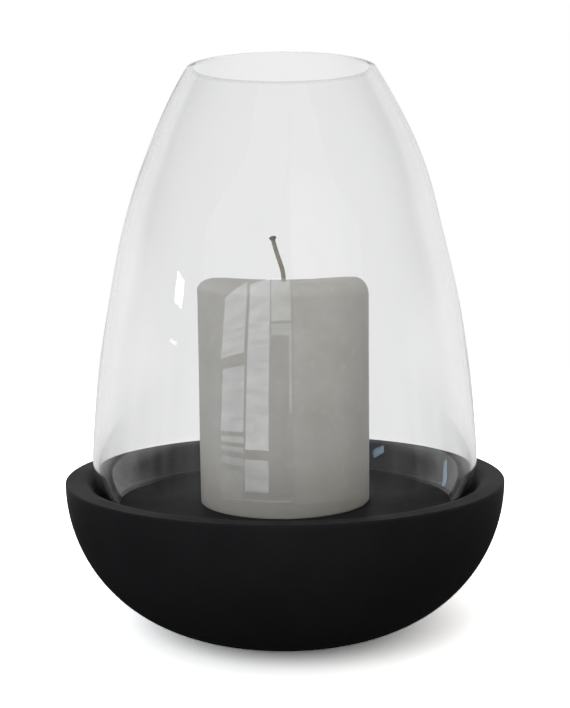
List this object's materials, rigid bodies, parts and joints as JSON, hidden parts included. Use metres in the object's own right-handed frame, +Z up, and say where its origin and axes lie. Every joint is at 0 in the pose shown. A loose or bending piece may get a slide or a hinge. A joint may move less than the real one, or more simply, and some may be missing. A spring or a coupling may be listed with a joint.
{
  "type": "garden candle lantern",
  "caption": "Candle lantern: a dark cast stone bowl with a flat rim, a clear open-topped glass shade standing in its recess, and a pillar candle inside.",
  "frame": {"origin": "centre of the underside, on the surface that the lantern stands on", "axes": "+Z up along the lantern's own axis; -Y towards the viewer, +X to the viewer's right"},
  "size_m": [0.25, 0.25, 0.317],
  "materials": {
    "cast_stone": "matte",
    "felt": "matte",
    "clear_glass": "polished",
    "wax": "satin",
    "cotton_wick": "matte",
    "tinned_steel": "satin"
  },
  "bodies": {
    "bowl": {"stone_bowl": "cast_stone", "foot_pad": "felt"},
    "shade": {"glass_shade": "clear_glass"},
    "candle": {"candle_wax": "wax", "candle_wick": "cotton_wick", "wick_sustainer": "tinned_steel"}
  },
  "joints": [
    {"name": "shade_lift", "type": "slide", "parent": "bowl", "child": "shade", "axis": [0, 0, 1], "range_m": [0, 0.18]},
    {"name": "candle_lift", "type": "slide", "parent": "bowl", "child": "candle", "axis": [0, 0, 1], "range_m": [0, 0.25]}
  ]
}
